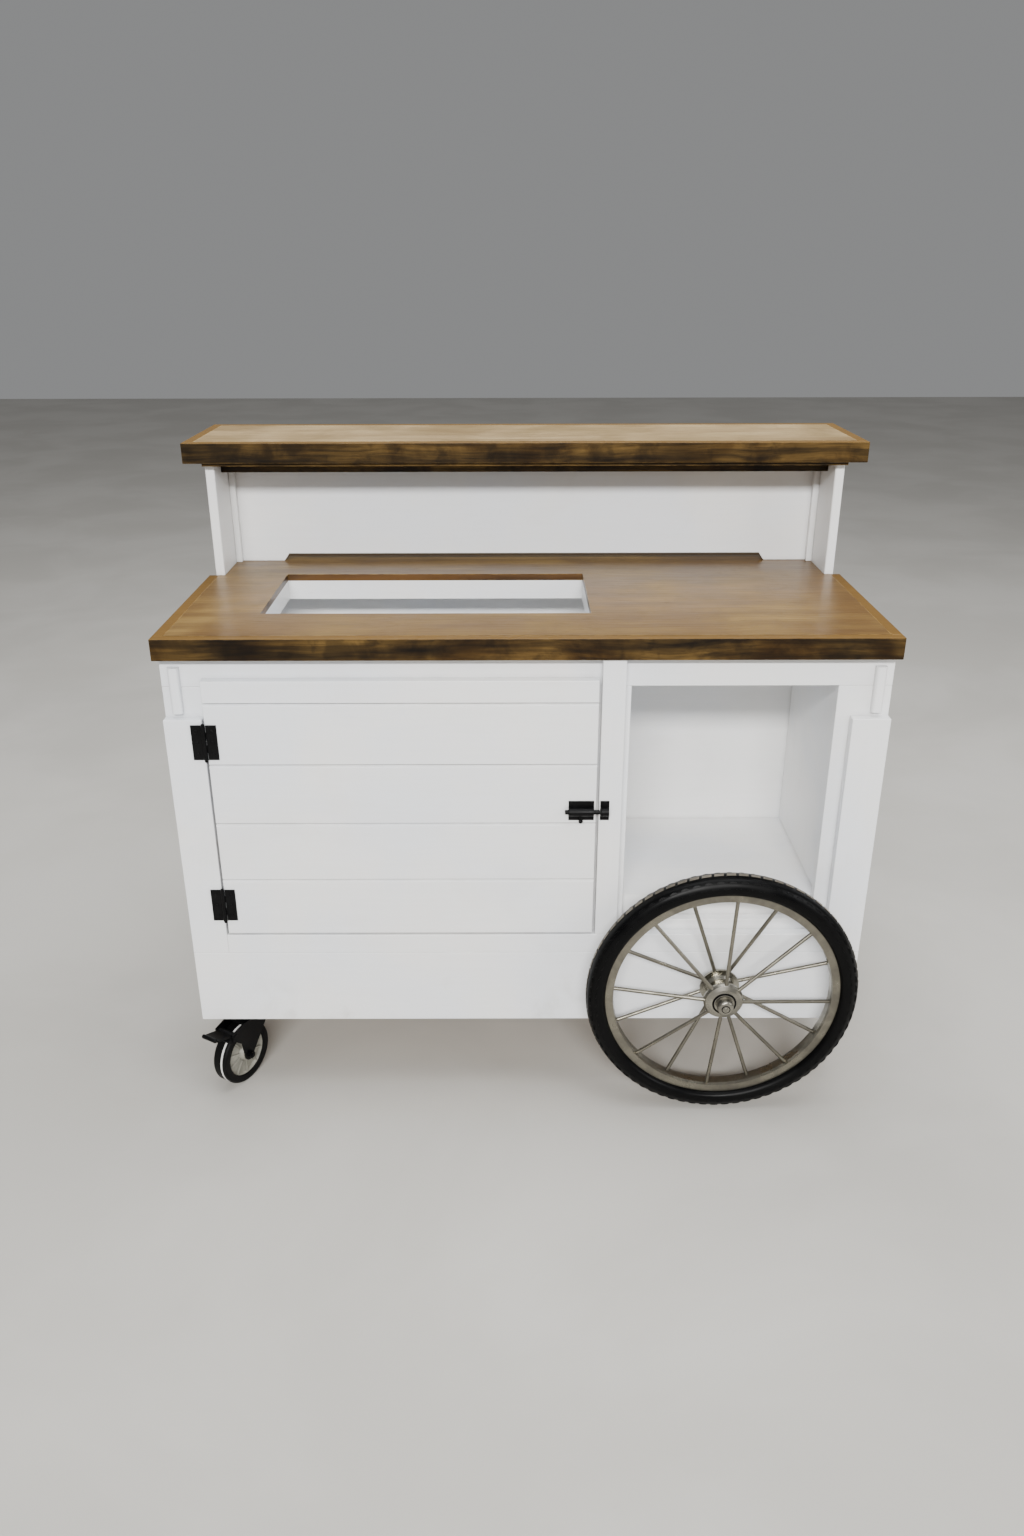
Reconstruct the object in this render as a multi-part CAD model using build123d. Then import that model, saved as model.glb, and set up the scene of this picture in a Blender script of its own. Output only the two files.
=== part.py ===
from build123d import *
import os
from math import atan2, cos, degrees, hypot, radians, sin

# Push vending cart: a timber cabinet with a raised shelf, on two spoked wheels and two
# braked swivel casters. Millimetres. +X runs along the counter towards the spoked wheels,
# -Y is the vendor's side with the door, +Z is up. The origin is on the floor, under the middle.

# ---------------------------------------------------------------- cabinet
cabinet_width = 1242.0        # over the side panels
cabinet_depth = 554.0         # over the front and back trim boards
counter_height = 914.0        # floor to the top of the counter
panel_thickness = 19.0        # deck, floors, sides, back, divider and face frame
trim_thickness = 19.0         # boards nailed on the outside
lining_thickness = 12.0       # inner walls of the open bay
sub_top_thickness = 12.0
post_size = 38.0
edge_round = 1.5              # eased edges of painted boards
bottom_rail_height = 191.0
top_rail_height = 41.5
base_board_height = 150.0
lower_rail_height = 39.0
corner_board_width = 66.0
front_corner_board_drop = 95.5   # frame top down to the top of the front corner boards
corner_block_width = 18.0
corner_block_depth = 12.0
corner_block_inset = 15.0
corner_block_foot_gap = 8.5
corner_block_head_gap = 5.0

# ---------------------------------------------------------------- open bay
bay_opening_width = 352.0
bay_opening_inset = 91.0      # side panel face to the right edge of the opening
bay_wall_setback = 8.0        # bay walls stand back behind the edges of the opening
bay_depth = 319.0
bay_floor_lift = 43.0         # bay floor surface above the cabinet floor
stile_trim_width = 40.0
stile_trim_setback = 11.0     # from the left edge of the bay opening
bearer_width = 38.0

# ---------------------------------------------------------------- door
door_gap_hinge_side = 4.0
door_gap_bolt_side = 5.0
door_gap_bottom = 4.0
door_face_gap = 0.5           # door back to face frame
door_lap = 20.0               # door over the edges of its opening
door_top_lap = 16.0
plank_pitch = 113.5
plank_gap = 2.0
plank_rebate = 8.0
plank_bevel = 3.5             # upper front edge of each board
smallest_plank = 25.0
batten_thickness = 19.0
batten_width = 70.0
batten_inset = 10.0

# ---------------------------------------------------------------- counter and riser
counter_edge_height = 38.0
counter_board_thickness = 13.0
nosing_thickness = 19.0
counter_side_overhang = 4.5
counter_front_overhang = 5.0
counter_back_ledge = 45.0     # counter behind the back boards
cutout_left_margin = 150.0    # from the side panel face
cutout_right_margin = 36.0    # from the divider
cutout_front_margin = 145.0   # from the front of the trim boards
cutout_length = 277.0         # front to back
riser_depth = 136.0
riser_board_thickness = 18.0
riser_side_inset = 8.5        # riser outside face from the side panel face
riser_fit = 0.5               # counter edge to riser board
riser_cleat_size = 12.0
notch_height = 16.0
notch_end_inset = 97.0
notch_slant = 11.0

# ---------------------------------------------------------------- shelf
shelf_height = 1172.0
shelf_thickness = 38.0
shelf_front_overhang = 27.0   # in front of the riser sides
shelf_side_overhang = 34.0
shelf_back_overhang = 108.0   # behind the riser back
shelf_subboard_thickness = 6.0
shelf_subboard_setback = 8.0
shelf_cleat_setback = 52.0
shelf_cleat_height = 23.0
shelf_cleat_thickness = 19.0

# ---------------------------------------------------------------- spoked wheels and axle
wheel_radius = 250.0
wheel_inset = 262.5           # side panel face to the axle
wheel_offset = 57.0           # trim face to the middle of the tyre
tyre_half_width = 23.5
tyre_height = 35.4            # tread down to the rim's outer edge
rim_depth = 15.6
rim_half_width = 13.0
rim_wall = 3.0
tyre_seat_gap = 0.2
spoke_count = 16
spoke_radius = 3.5
spoke_start_angle = 18.2
spoke_rim_offset = 5.0
hub_flange_radius = 36.5
hub_flange_spacing = 48.0
hub_flange_thickness = 9.0
hub_barrel_radius = 21.0
hub_nose_length = 6.0
hub_nose_radius = 27.0
axle_radius = 8.0
axle_running_gap = 0.05
axle_hole_gap = 0.6           # timber around the axle
bearing_radius = 16.0
bearing_length = 10.0
axle_washer_thickness = 2.5
axle_washer_radius = 17.0
axle_cap_thickness = 14.0
axle_cap_radius = 15.0
axle_cap_round = 5.0
axle_end_length = 0.5
axle_side_gap = 0.4
axle_spacer_radius = 14.0
axle_block_width = 90.0
axle_block_thickness = 38.0

# ---------------------------------------------------------------- casters
caster_inset_x = 80.0         # side panel face to the swivel axis
caster_inset_y = 55.0         # trim face to the swivel axis
caster_wheel_radius = 62.5
caster_wheel_half_width = 16.0
caster_core_radius = 54.0
caster_trail = 38.0
caster_heading = 60.0         # trail direction, from straight left towards the near side
caster_plate_length = 100.0
caster_plate_width = 84.0
caster_plate_thickness = 3.0
caster_screw_spacing_x = 80.0
caster_screw_spacing_y = 56.0
caster_race_radius = 29.0
caster_race_height = 10.0
caster_crown_height = 4.6
caster_leg_thickness = 3.0
caster_leg_gap = 4.0          # tyre side to fork leg
fork_front = 24.0             # crown, in front of the swivel axis
fork_back = 46.0              # crown, behind the swivel axis
fork_boss_radius = 12.0
fork_waist_drop = 28.0        # pedal pin down to the narrowest place of a leg
fork_waist_reach = 17.0       # wheel axle to the back of a leg at that place
pedal_lug = 7.0               # fork metal around the pedal pin
caster_hex_radius = 7.5
caster_hex_height = 5.0
caster_nut_height = 6.5
caster_bolt_end = 2.5         # bolt end past its nut
caster_hub_gap = 1.0          # wheel hub to fork leg
caster_hub_radius = 13.0
caster_web_half = 7.0
caster_web_inner = 17.0
caster_web_outer = 44.0
caster_rim_inner = 48.0
caster_rim_setback = 2.5      # wheel core rim behind the side of the tyre
caster_play = 0.4             # axial play of the swivel
caster_tyre_gap = 9.0         # tyre to fork crown
king_pin_radius = 6.0
pivot_running_gap = 0.06
caster_bolt_radius = 4.0
pedal_pivot_u = 70.0
pedal_pivot_drop = 27.5       # deck underside to the pedal pivot
pedal_pin_radius = 3.0
pedal_barrel_radius = 6.0
pedal_side_gap = 2.0          # pedal to fork leg
pedal_length = 48.0
pedal_thickness = 4.0
pedal_lift = 17.5             # degrees above level when released
pedal_travel = 14.0           # degrees down to the locked position
brake_bar_radius = 3.5
brake_bar_spread = 11.45      # degrees round the caster axle, from the pedal pin to the locked bar
brake_gap = 0.4

# ---------------------------------------------------------------- hinges and bolt
hinge_height = 64.0
hinge_leaf_width = 22.0
hinge_leaf_thickness = 2.2
hinge_barrel_radius = 3.5
hinge_pin_radius = 1.8
hinge_play = 0.3
hinge_upper_drop = 110.5      # door top to the middle of the upper hinge
hinge_lower_rise = 61.0       # door bottom to the middle of the lower hinge
knuckle_count = 5
screw_radius = 1.7
screw_head_radius = 3.4
screw_head_height = 1.2
screw_length = 14.0
screw_fit = 0.05
bolt_plate_length = 45.0
bolt_plate_height = 37.0
bolt_plate_thickness = 2.0
bolt_plate_inset = 3.5        # from the free edge of the door
bolt_height = 252.0           # door bottom to the bolt's axis
bolt_rod_radius = 4.0
bolt_rod_length = 61.4
bolt_stand_off = 5.5          # plate face to the rod's axis
bolt_sleeve_radius = 7.5
bolt_running_gap = 0.08
bolt_travel = 17.0
bolt_tip_gap = 1.0            # rod end to keeper when drawn back
keeper_width = 16.0
keeper_inset = 2.4            # from the edge of the centre stile
knob_stem_radius = 2.3
knob_radius = 4.0
knob_reach = 18.0
knob_setback = 33.4           # rod end to the knob stem
knob_play = 0.5
plate_screw_inset = 4.5

# ---------------------------------------------------------------- worked-out places
ground_clearance = (2 * caster_wheel_radius + caster_tyre_gap + caster_crown_height + caster_play
                    + caster_race_height + caster_plate_thickness)
rim_outer_radius = wheel_radius - tyre_height
rim_inner_radius = rim_outer_radius - rim_depth
half_width = cabinet_width / 2
trim_y = cabinet_depth / 2
frame_y = trim_y - trim_thickness
inner_y = frame_y - panel_thickness
inner_x = half_width - panel_thickness
deck_z = ground_clearance
deck_top = deck_z + panel_thickness
cabinet_floor_top = deck_top + bottom_rail_height
frame_top = counter_height - counter_edge_height - sub_top_thickness
counter_underside = counter_height - counter_edge_height
counter_board_bottom = counter_height - counter_board_thickness
opening_top = frame_top - top_rail_height
base_board_top = deck_z + base_board_height
lower_rail_top = base_board_top + lower_rail_height
corner_board_inner_x = half_width - corner_board_width

bay_right = half_width - bay_opening_inset
bay_left = bay_right - bay_opening_width
bay_wall_left = bay_left - bay_wall_setback
bay_wall_right = bay_right + bay_wall_setback
bay_back = bay_depth - inner_y
divider_left = bay_wall_left - panel_thickness
bay_floor_top = cabinet_floor_top + bay_floor_lift
stile_right = bay_left - stile_trim_setback
stile_left = stile_right - stile_trim_width

door_left = door_gap_hinge_side - corner_board_inner_x
door_right = stile_left - door_gap_bolt_side
door_bottom = lower_rail_top + door_gap_bottom
door_top = opening_top + door_top_lap
door_back = door_face_gap + frame_y
door_opening_left = door_left + door_lap
door_opening_right = door_right - door_lap

cutout_left = cutout_left_margin - half_width
cutout_right = divider_left - cutout_right_margin
cutout_front = cutout_front_margin - trim_y
cutout_back = cutout_front + cutout_length
riser_front = trim_y - riser_depth
riser_outer_x = half_width - riser_side_inset
riser_inner_x = riser_outer_x - riser_board_thickness
counter_x = half_width + counter_side_overhang
counter_front = trim_y + counter_front_overhang
counter_back = trim_y + counter_back_ledge
tongue_x = riser_inner_x - riser_fit
wide_back = riser_front - riser_fit
shelf_underside = shelf_height - shelf_thickness
subboard_bottom = shelf_underside - shelf_subboard_thickness
shelf_x = riser_outer_x + shelf_side_overhang
shelf_front = riser_front - shelf_front_overhang
shelf_back = trim_y + shelf_back_overhang

axle_x = half_width - wheel_inset
wheel_y = trim_y + wheel_offset
swivel_x = caster_inset_x - half_width
swivel_y = trim_y - caster_inset_y
hinge_x = door_left - door_gap_hinge_side / 2
hinge_y = trim_y + hinge_barrel_radius + 0.2
hinge_heights = (door_top - hinge_upper_drop, door_bottom + hinge_lower_rise)
bolt_z = door_bottom + bolt_height
bolt_y = trim_y + bolt_plate_thickness + bolt_stand_off
bolt_plate_right = door_right - bolt_plate_inset
bolt_plate_left = bolt_plate_right - bolt_plate_length
keeper_left = stile_left + keeper_inset
bolt_tip = keeper_left - bolt_tip_gap
knob_x = bolt_tip - knob_setback


# ---------------------------------------------------------------- helpers
def block(x0, x1, y0, y1, z0, z1):
    """A box between two corners."""
    centre = Pos((x0 + x1) / 2, (y0 + y1) / 2, (z0 + z1) / 2)
    return centre * Box(x1 - x0, y1 - y0, z1 - z0)


def board(x0, x1, y0, y1, z0, z1, ease=edge_round):
    """A board with eased edges."""
    solid = block(x0, x1, y0, y1, z0, z1)
    return fillet(solid.edges(), min(ease, 0.2 * min(x1 - x0, y1 - y0, z1 - z0)))


def rod_y(x, z, radius, y0, y1):
    """A round bar along Y."""
    return Pos(x, (y0 + y1) / 2, z) * Rot(90, 0, 0) * Cylinder(radius, y1 - y0)


def rod_x(y, z, radius, x0, x1):
    """A round bar along X."""
    return Pos((x0 + x1) / 2, y, z) * Rot(0, 90, 0) * Cylinder(radius, x1 - x0)


def rod_z(x, y, radius, z0, z1):
    """A round bar along Z."""
    return Pos(x, y, (z0 + z1) / 2) * Cylinder(radius, z1 - z0)


def axle_hole(y0, y1):
    """The hole that a timber piece needs around the axle."""
    return rod_y(axle_x, wheel_radius, axle_radius + axle_hole_gap, y0, y1)


def bevel_cut(x0, x1, front, facing, top):
    """The wedge taken off the upper front edge of a shiplap board."""
    outline = Polyline((facing * front, top - plank_bevel), (facing * (front + 1), top - plank_bevel),
                       (facing * (front + 1), top + 1), (facing * (front - plank_bevel), top + 1),
                       (facing * (front - plank_bevel), top), (facing * front, top - plank_bevel))
    wedge = extrude(make_face(Plane.YZ * outline), (x1 - x0) / 2 + 1, both=True)
    return Pos((x0 + x1) / 2, 0, 0) * wedge


def planks(x0, x1, front, thickness, z0, z1, facing):
    """Shiplap boards, one above the other. facing is -1 for a face towards -Y, 1 for +Y."""
    full = max(int((z1 - z0 - smallest_plank) / plank_pitch), 0)
    levels = [z0 + plank_pitch * i for i in range(full + 1)] + [z1]
    half = thickness / 2
    result = []
    for i, low in enumerate(levels[:-1]):
        high = levels[i + 1]
        last = i == len(levels) - 2
        face_top = high if last else high - plank_gap
        tongue_low = low if i == 0 else low + plank_rebate
        tongue_high = high if last else high + plank_rebate - plank_gap
        face_span = sorted((front * facing, (front - half) * facing))
        tongue_span = sorted(((front - half) * facing, (front - thickness) * facing))
        face = board(x0, x1, *face_span, low, face_top)
        if not last:
            face = face - bevel_cut(x0, x1, front, facing, face_top)
        root = block(x0, x1, *sorted(((front - half) * facing, (front - half + edge_round) * facing)),
                     max(low, tongue_low), min(face_top, tongue_high))
        result.append(face + root + block(x0, x1, *tongue_span, tongue_low, tongue_high))
    return result


def screw(x, z, face):
    """A pan-head screw driven along +Y; face is how far in front of the middle the head sits."""
    head = rod_y(x, z, screw_head_radius, -face - screw_head_height, -face)
    head = fillet(head.edges().group_by(Axis.Y)[0], screw_head_height * 0.8)
    return head + rod_y(x, z, screw_radius, -face, screw_length - face)


def screw_holes(places, face):
    """The holes for screws whose heads sit at the given face."""
    radius = screw_radius + screw_fit
    return [rod_y(x, z, radius, -face - 1, screw_length + screw_fit - face) for x, z in places]


def drill(solid, holes):
    """Cut each hole out of a solid."""
    for hole in holes:
        solid = solid - hole
    return solid


# ---------------------------------------------------------------- places of the screws
def hinge_screw_places(side):
    """Screws of both hinges, side -1 for the corner board leaf, 1 for the door leaf."""
    x = hinge_x + side * hinge_leaf_width * 0.6
    return [(x, z + offset) for z in hinge_heights for offset in (-hinge_height / 3, 0, hinge_height / 3)]


def plate_screw_places(left, right):
    """Corner screws of the bolt plate or, where it is narrow, two screws one above the other."""
    rise = bolt_plate_height / 2 - plate_screw_inset
    if right - left < 4 * plate_screw_inset:
        return [((left + right) / 2, bolt_z + side * rise) for side in (-1, 1)]
    return [(x, bolt_z + side * rise) for x in (left + plate_screw_inset, right - plate_screw_inset)
            for side in (-1, 1)]


hinge_face = trim_y + hinge_leaf_thickness
plate_face = trim_y + bolt_plate_thickness
frame_hinge_screws = hinge_screw_places(-1)
door_hinge_screws = hinge_screw_places(1)
housing_screws = plate_screw_places(bolt_plate_left, bolt_plate_right)
keeper_screws = plate_screw_places(keeper_left, keeper_left + keeper_width)


# ---------------------------------------------------------------- cabinet pieces
def caster_screw_points():
    """Every caster screw, as X and Y."""
    return [(swivel_x + sx * caster_screw_spacing_x / 2, side * swivel_y + sy * caster_screw_spacing_y / 2)
            for side in (-1, 1) for sx in (-1, 1) for sy in (-1, 1)]


def make_deck():
    deck = block(-half_width, half_width, -frame_y, frame_y, deck_z, deck_top)
    radius = caster_bolt_radius + screw_fit
    holes = [rod_z(x, y, radius, deck_z - 1, deck_top - 3) for x, y in caster_screw_points()]
    return drill(deck, holes)


def make_face_frame():
    """Two rails and three stiles around the door opening and the open bay."""
    front, back = -frame_y, -inner_y
    bottom = board(-half_width, half_width, front, back, deck_top, cabinet_floor_top)
    top = board(-half_width, half_width, front, back, opening_top, frame_top)
    edges = [(-half_width, door_opening_left), (door_opening_right, bay_left), (bay_right, half_width)]
    stiles = [board(x0, x1, front, back, cabinet_floor_top, opening_top) for x0, x1 in edges]
    return [bottom - axle_hole(front - 1, back + 1), top] + stiles


def make_corner_boards():
    """Front pair, cut short under the corner blocks, and the full-height back pair."""
    front_top = frame_top - front_corner_board_drop
    pieces = []
    for side in (-1, 1):
        x0, x1 = sorted((side * corner_board_inner_x, side * half_width))
        pieces.append(board(x0, x1, -trim_y, -frame_y, base_board_top, front_top))
        pieces.append(board(x0, x1, frame_y, trim_y, base_board_top, counter_underside))
    return [drill(piece, screw_holes(frame_hinge_screws, hinge_face)) for piece in pieces]


def make_corner_blocks():
    """Short upright blocks with rounded noses, above the front corner boards."""
    low = frame_top - front_corner_board_drop + corner_block_foot_gap
    high = frame_top - corner_block_head_gap
    pieces = []
    for side in (-1, 1):
        x0, x1 = sorted((side * (half_width - corner_block_inset),
                         side * (half_width - corner_block_inset - corner_block_width)))
        piece = block(x0, x1, -frame_y - corner_block_depth, -frame_y, low, high)
        nose = piece.edges().filter_by(Axis.Z).group_by(Axis.Y)[0]
        pieces.append(fillet(nose, corner_block_width * 0.3))
    return pieces


def make_base_boards():
    front = board(-half_width, half_width, -trim_y, -frame_y, deck_z, base_board_top)
    back = board(-half_width, half_width, frame_y, trim_y, deck_z, base_board_top)
    return [front - axle_hole(-trim_y - 1, -frame_y + 1), back - axle_hole(frame_y - 1, trim_y + 1)]


def make_bay_floor():
    """The raised floor of the open bay and its three bearers."""
    top = block(bay_wall_left, bay_wall_right, -inner_y, bay_back, bay_floor_top - panel_thickness,
                bay_floor_top)
    span = bay_back + inner_y - bearer_width
    bearers = [block(bay_wall_left, bay_wall_right, y, y + bearer_width, cabinet_floor_top,
                     bay_floor_top - panel_thickness)
               for y in (-inner_y, -inner_y + span / 2, -inner_y + span)]
    return [top] + bearers


def cutout(z0, z1):
    return block(cutout_left, cutout_right, cutout_front, cutout_back, z0, z1)


def make_counter_layer(z0, z1):
    """One layer of the counter: the wide part, and the tongue between the riser sides."""
    front = -counter_front + nosing_thickness
    wide = block(nosing_thickness - counter_x, counter_x - nosing_thickness, front, wide_back, z0, z1)
    tongue = block(-tongue_x, tongue_x, wide_back, counter_back - nosing_thickness, z0, z1)
    return wide + tongue - cutout(z0 - 1, z1 + 1)


def make_counter_nosings():
    z0, z1 = counter_underside, counter_height
    front = board(-counter_x, counter_x, -counter_front, -counter_front + nosing_thickness, z0, z1)
    back = board(-tongue_x, tongue_x, counter_back - nosing_thickness, counter_back, z0, z1)
    sides = []
    for side in (-1, 1):
        x0, x1 = sorted((side * (counter_x - nosing_thickness), side * counter_x))
        sides.append(board(x0, x1, -counter_front + nosing_thickness, wide_back, z0, z1))
    return [front, back] + sides


def make_riser_back():
    """The riser's back, with the low slanted notch over the counter."""
    panel = board(-riser_inner_x, riser_inner_x, frame_y, trim_y, counter_height, subboard_bottom)
    wide = riser_inner_x - notch_end_inset
    outline = Polyline((-wide, 0), (wide, 0), (wide - notch_slant, notch_height),
                       (notch_slant - wide, notch_height), (-wide, 0))
    notch = extrude(make_face(Plane.XZ * outline), trim_thickness + 2, both=True)
    return panel - Pos(0, frame_y, counter_height) * notch


def make_riser_pairs():
    sides, cleats = [], []
    for side in (-1, 1):
        x0, x1 = sorted((side * riser_inner_x, side * riser_outer_x))
        sides.append(board(x0, x1, riser_front, trim_y, counter_underside, subboard_bottom, 3))
        x0, x1 = sorted((side * riser_inner_x, side * (riser_inner_x - riser_cleat_size)))
        cleats.append(board(x0, x1, frame_y - riser_cleat_size, frame_y, counter_height, subboard_bottom))
    return sides, cleats


def make_shelf_nosings():
    z0, z1 = shelf_underside, shelf_height
    front = board(-shelf_x, shelf_x, shelf_front, shelf_front + nosing_thickness, z0, z1)
    back = board(-shelf_x, shelf_x, shelf_back - nosing_thickness, shelf_back, z0, z1)
    sides = []
    for side in (-1, 1):
        x0, x1 = sorted((side * (shelf_x - nosing_thickness), side * shelf_x))
        sides.append(board(x0, x1, shelf_front + nosing_thickness, shelf_back - nosing_thickness, z0, z1))
    return [front, back] + sides


# ---------------------------------------------------------------- axle and spoked wheels
def ring_y(outer, inner, side, w0, w1):
    """A ring on the axle. w runs outwards from the middle of the wheel on the given side."""
    y0, y1 = sorted((side * (wheel_y + w0), side * (wheel_y + w1)))
    solid = rod_y(axle_x, wheel_radius, outer, y0, y1)
    return solid - rod_y(axle_x, wheel_radius, inner, y0 - 1, y1 + 1)


hub_half = (hub_flange_spacing + hub_flange_thickness) / 2
hub_outer_end = hub_half + hub_nose_length
axle_end = (wheel_y + hub_outer_end + axle_side_gap + axle_washer_thickness + axle_cap_thickness
            + axle_end_length)
axle_bore = axle_radius + axle_running_gap


def make_axle():
    bar = rod_y(axle_x, wheel_radius, axle_radius, -axle_end, axle_end)
    return chamfer(bar.edges().filter_by(GeomType.CIRCLE), 1.5)


def make_axle_fittings():
    """On each side a washer, a round cap and the spacer sleeve between hub and cabinet."""
    pieces = []
    washer_start = hub_outer_end + axle_side_gap
    cap_start = washer_start + axle_washer_thickness
    for side in (-1, 1):
        pieces.append(ring_y(axle_washer_radius, axle_bore, side, washer_start, cap_start))
        y0, y1 = sorted((side * (wheel_y + cap_start), side * (wheel_y + cap_start + axle_cap_thickness)))
        cap = rod_y(axle_x, wheel_radius, axle_cap_radius, y0, y1)
        cap = fillet(cap.edges().filter_by(GeomType.CIRCLE).group_by(Axis.Y)[0 if side < 0 else -1],
                     axle_cap_round)
        pieces.append(cap - rod_y(axle_x, wheel_radius, axle_bore, y0 - 1, y1 + 1))
        pieces.append(ring_y(axle_spacer_radius, axle_bore, side, -wheel_offset, -hub_half - axle_side_gap))
    return pieces


def make_axle_blocks():
    """Timber blocks inside the plinth that carry the axle behind the front and back frames."""
    pieces = []
    for side in (-1, 1):
        y0, y1 = sorted((side * inner_y, side * (inner_y - axle_block_thickness)))
        solid = block(axle_x - axle_block_width / 2, axle_x + axle_block_width / 2, y0, y1, deck_top,
                      cabinet_floor_top - panel_thickness)
        pieces.append(solid - rod_y(axle_x, wheel_radius, axle_bore, y0 - 1, y1 + 1))
    return pieces


def make_wheel(side):
    """Tyre, rim, spokes, hub and bearings of one wheel, first along +Y at the origin."""
    steps = Plane.YZ
    lip = rim_wall / 2
    half, wall = rim_half_width, rim_wall
    low, well = rim_inner_radius, rim_inner_radius + rim_wall + lip
    rim_line = Polyline((-half, rim_outer_radius), (-half, low + lip), (lip * 4 - half, low),
                        (half - lip * 4, low), (half, low + lip), (half, rim_outer_radius),
                        (half - wall, rim_outer_radius), (half - wall, well + lip), (half - lip * 5, well),
                        (lip * 5 - half, well), (wall - half, well + lip), (wall - half, rim_outer_radius),
                        (-half, rim_outer_radius))
    rim = revolve(steps * make_face(rim_line), Axis.Y)

    seat = rim_outer_radius + tyre_seat_gap
    section_z = wheel_radius - tyre_half_width
    section = Pos(0, section_z) * Circle(tyre_half_width)
    section = section - Pos(0, seat - wheel_radius) * Rectangle(3 * tyre_half_width, 2 * wheel_radius)
    foot_low = well + lip + tyre_seat_gap
    foot_half = half - wall - tyre_seat_gap
    foot = Pos(0, (foot_low + section_z) / 2) * Rectangle(2 * foot_half, section_z - foot_low)
    tyre = revolve(steps * (section + foot), Axis.Y)

    thickness = hub_flange_thickness / 2
    end = hub_outer_end
    nose = hub_nose_length / 2
    flange = hub_flange_spacing / 2
    bore = axle_radius + 2
    seat_depth = bearing_length + 0.5
    hub_line = Polyline((-hub_half, bearing_radius), (-hub_half, hub_flange_radius - 3),
                        (-flange, hub_flange_radius), (thickness - flange, hub_flange_radius),
                        (thickness - flange, hub_barrel_radius + 5), (thickness + 5 - flange, hub_barrel_radius),
                        (flange - thickness - 5, hub_barrel_radius), (flange - thickness, hub_barrel_radius + 5),
                        (flange - thickness, hub_flange_radius), (flange, hub_flange_radius),
                        (hub_half, hub_flange_radius - 3), (hub_half + nose, hub_nose_radius),
                        (end - nose / 4, bearing_radius + 4), (end, bearing_radius + 1.5),
                        (end, bearing_radius), (end - seat_depth, bearing_radius),
                        (end - seat_depth, bore), (seat_depth - hub_half, bore),
                        (seat_depth - hub_half, bearing_radius), (-hub_half, bearing_radius))
    hub = revolve(steps * make_face(hub_line), Axis.Y)

    bearings = []
    for y0 in (end - bearing_length, -hub_half):
        race = rod_y(0, 0, bearing_radius, y0, y0 + bearing_length)
        bearings.append(race - rod_y(0, 0, axle_bore, y0 - 1, y0 + bearing_length + 1))

    spokes = []
    for i in range(spoke_count):
        outer = 1 if i % 2 else -1
        start = Vector(hub_flange_radius - spoke_radius, outer * flange, 0)
        finish = Vector(rim_inner_radius + rim_wall / 2, outer * spoke_rim_offset, 0)
        direction = finish - start
        bar = Plane(origin=start, z_dir=direction) * extrude(Circle(spoke_radius), direction.length)
        bar = bar - rim - hub
        turned = Rot(0, -spoke_start_angle - 360 * i / spoke_count, 0) * bar
        spokes.append(max(turned.solids(), key=lambda solid: solid.volume))

    def place(shape):
        local = shape if side > 0 else mirror(shape, Plane.XZ)
        return Pos(axle_x, side * wheel_y, wheel_radius) * local

    return {
        "tyre": [place(tyre)],
        "rim": [place(rim)],
        "spokes": [place(spoke) for spoke in spokes],
        "hub": [place(hub)],
        "bearings": [place(bearing) for bearing in bearings],
    }


# ---------------------------------------------------------------- casters
race_bottom = deck_z - caster_plate_thickness - caster_race_height
crown_top = race_bottom - caster_play
crown_bottom = crown_top - caster_crown_height
leg_inner = caster_wheel_half_width + caster_leg_gap
leg_outer = leg_inner + caster_leg_thickness
pedal_half_width = leg_inner - pedal_side_gap
pivot_z = deck_z - pedal_pivot_drop


def caster_plates():
    """Top plates with their swivel race and king pin, which stay on the cabinet."""
    pieces = []
    for side in (-1, 1):
        y = side * swivel_y
        plate = board(swivel_x - caster_plate_length / 2, swivel_x + caster_plate_length / 2,
                      y - caster_plate_width / 2, y + caster_plate_width / 2,
                      deck_z - caster_plate_thickness, deck_z, 0.5)
        race = rod_z(swivel_x, y, caster_race_radius, race_bottom, deck_z - caster_plate_thickness)
        race = fillet(race.edges().group_by(Axis.Z)[0], 3)
        head_top = crown_bottom - caster_play
        pin = rod_z(swivel_x, y, king_pin_radius, head_top, race_bottom)
        head = rod_z(swivel_x, y, king_pin_radius + 4, head_top - 4.5, head_top)
        pieces.append(drill(plate + race + pin + head, [
            rod_z(px, py, caster_bolt_radius + screw_fit, deck_z - 10, deck_z + 1)
            for px, py in caster_screw_points() if py * side > 0]))
    return pieces


def caster_screws():
    """Hexagon-head screws up through the plates into the deck."""
    pieces = []
    plate_bottom = deck_z - caster_plate_thickness
    for x, y in caster_screw_points():
        head = Pos(x, y, plate_bottom - caster_hex_height) * extrude(RegularPolygon(caster_hex_radius, 6),
                                                                     caster_hex_height)
        pieces.append(head + rod_z(x, y, caster_bolt_radius, plate_bottom, deck_top - 3.5))
    return pieces


def caster_leg(v0, v1):
    """One fork leg with its lug for the pedal pin, between two side offsets."""
    axle_z = caster_wheel_radius
    lug = pedal_pivot_u + pedal_lug
    outline = Polyline((-fork_front, crown_top), (fork_back, crown_top), (lug, pivot_z + pedal_lug - 1),
                       (lug, pivot_z - pedal_lug), (caster_trail + fork_waist_reach, pivot_z - fork_waist_drop),
                       (caster_trail + fork_boss_radius, axle_z), (caster_trail - fork_boss_radius, axle_z),
                       (-fork_front, crown_bottom - 2 * caster_hex_height), (-fork_front, crown_top))
    plate = extrude(make_face(Plane.XZ * outline), (v1 - v0) / 2, both=True)
    plate = Pos(0, (v0 + v1) / 2, 0) * plate
    return plate + rod_y(caster_trail, axle_z, fork_boss_radius, v0, v1)


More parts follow.
